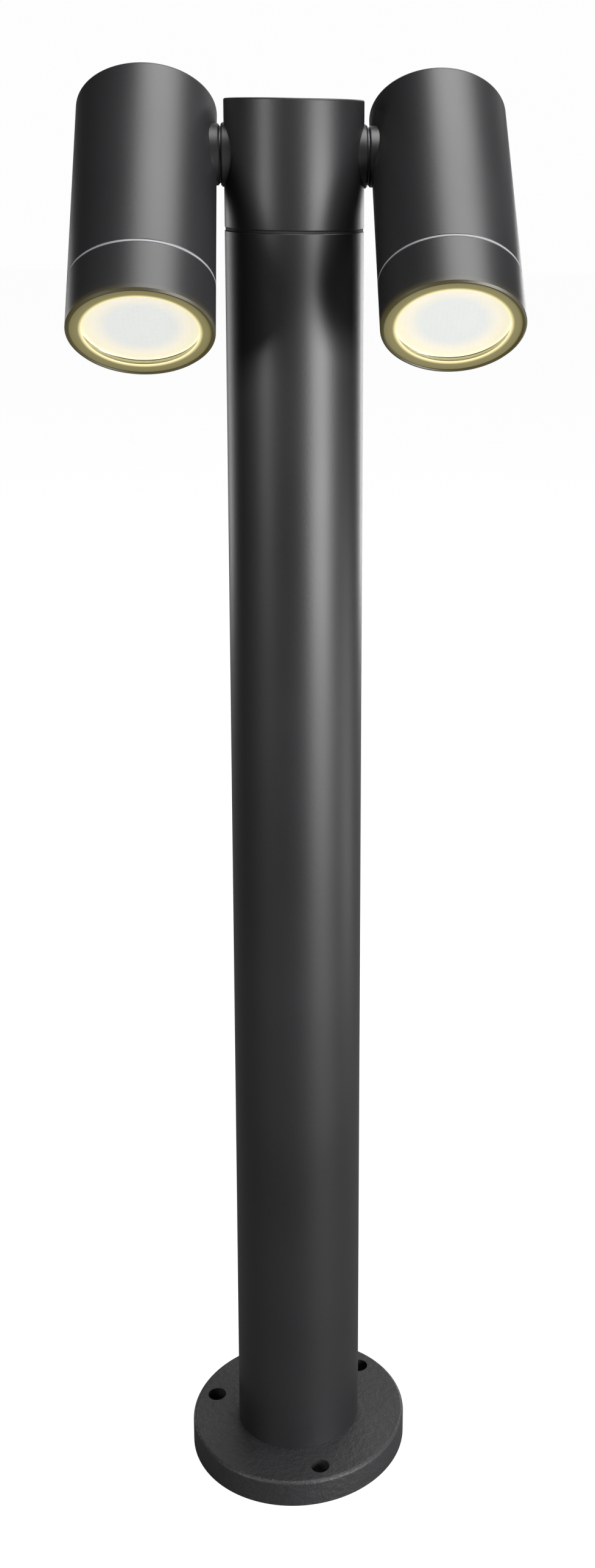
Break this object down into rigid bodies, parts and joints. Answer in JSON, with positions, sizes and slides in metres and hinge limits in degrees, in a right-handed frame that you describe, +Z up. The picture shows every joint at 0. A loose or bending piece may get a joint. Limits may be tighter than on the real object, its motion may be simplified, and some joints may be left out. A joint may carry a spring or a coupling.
{
  "type": "garden post spotlight",
  "caption": "Slim round garden light post on a bolted base flange, with cylindrical spot heads on tilting swivels either side of its closed top collar.",
  "frame": {"origin": "centre of the base flange's underside, where the post meets the ground", "axes": "+Z up along the post; -Y is the front, where the heads shine at rest; +X runs along the swivel axis from the left head to the right head as seen from the front"},
  "size_m": [0.186, 0.1386, 0.6719],
  "materials": {
    "cast_flange": "satin",
    "powder_coated_tube": "satin",
    "powder_coated_collar": "satin",
    "powder_coated_heads": "satin",
    "powder_coated_rings": "satin",
    "bare_aluminium": "satin",
    "black_rubber": "matte",
    "grey_seal": "matte",
    "silicone_gasket": "satin",
    "clear_glass": "gloss",
    "white_ceramic": "satin",
    "white_lamp_body": "satin",
    "lit_lens": "satin",
    "brass": "satin",
    "ivory_plastic": "matte",
    "brown_wire": "matte",
    "blue_wire": "matte",
    "green_wire": "matte",
    "white_sleeving": "matte",
    "black_steel": "satin",
    "zinc_steel": "satin"
  },
  "bodies": {
    "post": {"base_flange": "cast_flange", "base_sleeve": "bare_aluminium", "sleeve_screws": "zinc_steel", "cable_grommet": "black_rubber", "post_tube": "powder_coated_tube", "base_set_screws": "black_steel", "seam_gasket": "black_rubber", "top_collar": "powder_coated_collar", "collar_set_screws": "black_steel", "terminal_bracket": "zinc_steel", "bracket_screws": "zinc_steel", "terminal_block": "ivory_plastic", "terminal_clamps": "brass", "earth_screw": "brass", "live_wires": "brown_wire", "neutral_wires": "blue_wire", "earth_wires": "green_wire", "left_collar_lead": "white_sleeving", "left_boss_seal": "black_rubber", "left_friction_washer": "zinc_steel", "left_wave_washer": "zinc_steel", "right_collar_lead": "white_sleeving", "right_boss_seal": "black_rubber", "right_friction_washer": "zinc_steel", "right_wave_washer": "zinc_steel"},
    "left_head": {"left_head_housing": "powder_coated_heads", "left_swivel_stud": "zinc_steel", "left_swivel_nuts": "zinc_steel", "left_stop_washer": "zinc_steel", "left_ring_seal": "grey_seal", "left_lamp_holder": "white_ceramic", "left_holder_bracket": "zinc_steel", "left_holder_screws": "zinc_steel", "left_foot_screws": "zinc_steel", "left_lamp_body": "white_lamp_body", "left_lamp_lens": "lit_lens", "left_lamp_pins": "brass", "left_head_lead": "white_sleeving"},
    "left_glass": {"left_front_glass": "clear_glass", "left_glass_gasket": "silicone_gasket"},
    "left_ring": {"left_front_ring": "powder_coated_rings"},
    "right_head": {"right_head_housing": "powder_coated_heads", "right_swivel_stud": "zinc_steel", "right_swivel_nuts": "zinc_steel", "right_stop_washer": "zinc_steel", "right_ring_seal": "grey_seal", "right_lamp_holder": "white_ceramic", "right_holder_bracket": "zinc_steel", "right_holder_screws": "zinc_steel", "right_foot_screws": "zinc_steel", "right_lamp_body": "white_lamp_body", "right_lamp_lens": "lit_lens", "right_lamp_pins": "brass", "right_head_lead": "white_sleeving"},
    "right_glass": {"right_front_glass": "clear_glass", "right_glass_gasket": "silicone_gasket"},
    "right_ring": {"right_front_ring": "powder_coated_rings"}
  },
  "joints": [
    {"name": "left_head_tilt", "type": "hinge", "parent": "post", "child": "left_head", "pos_m": [-0.0312, 0, 0.6345], "axis": [1, 0, 0], "range_deg": [-138.7, 41.3]},
    {"name": "left_glass_slide", "type": "slide", "parent": "left_head", "child": "left_glass", "axis": [0, -0.66, -0.7513], "range_m": [0, 0.0061]},
    {"name": "left_ring_turn", "type": "hinge", "parent": "left_glass", "child": "left_ring", "pos_m": [-0.063, 0, 0.6345], "axis": [0, -0.66, -0.7513], "range_deg": [0, 1440]},
    {"name": "right_head_tilt", "type": "hinge", "parent": "post", "child": "right_head", "pos_m": [0.0312, 0, 0.6345], "axis": [1, 0, 0], "range_deg": [-136, 44]},
    {"name": "right_glass_slide", "type": "slide", "parent": "right_head", "child": "right_glass", "axis": [0, -0.6947, -0.7193], "range_m": [0, 0.0061]},
    {"name": "right_ring_turn", "type": "hinge", "parent": "right_glass", "child": "right_ring", "pos_m": [0.063, 0, 0.6345], "axis": [0, -0.6947, -0.7193], "range_deg": [0, 1440]}
  ],
  "couplings": [
    {"joint": "left_glass_slide", "follows": "left_ring_turn", "m_per_rad": 0.00023873},
    {"joint": "right_glass_slide", "follows": "right_ring_turn", "m_per_rad": 0.00023873}
  ]
}
